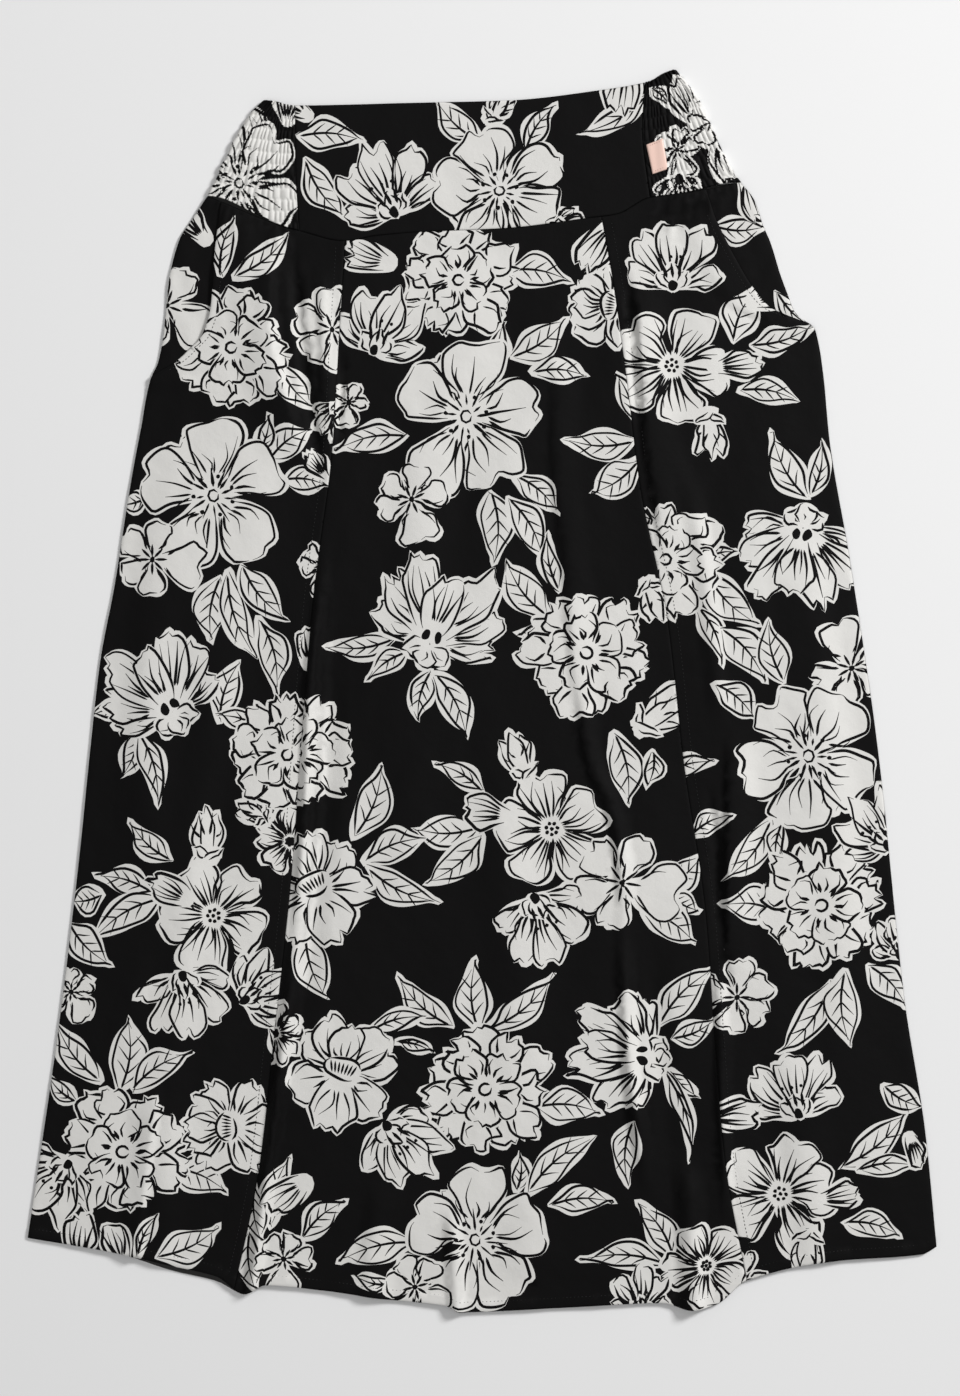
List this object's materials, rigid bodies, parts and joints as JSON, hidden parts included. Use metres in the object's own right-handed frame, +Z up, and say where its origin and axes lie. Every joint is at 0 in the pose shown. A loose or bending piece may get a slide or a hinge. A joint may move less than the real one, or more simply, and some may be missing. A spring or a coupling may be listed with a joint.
{
  "type": "maxi skirt",
  "caption": "Long flared cloth skirt laid flat, with a flat front band, an elastic shirred waist and slanted hip pockets.",
  "frame": {"origin": "middle of the footprint, on the surface that the laid skirt rests on", "axes": "+X to the viewer's right across the skirt, +Y from the hem to the waist, +Z up out of the front of the skirt"},
  "size_m": [0.7126, 0.9736, 0.0067],
  "materials": {
    "printed_cloth": "black cloth with off-white flowers, smooth with a soft sheen",
    "shirred_cloth": "the same printed cloth, gathered on rows of elastic",
    "label_cloth": "pale woven satin"
  },
  "bodies": {
    "root": {"skirt_back": "printed_cloth", "front_centre": "printed_cloth", "front_left": "printed_cloth", "front_right": "printed_cloth", "pocket_facing_left": "printed_cloth", "pocket_facing_right": "printed_cloth", "front_yoke": "printed_cloth", "shirred_waist": "shirred_cloth", "waist_label": "label_cloth"}
  },
  "joints": []
}
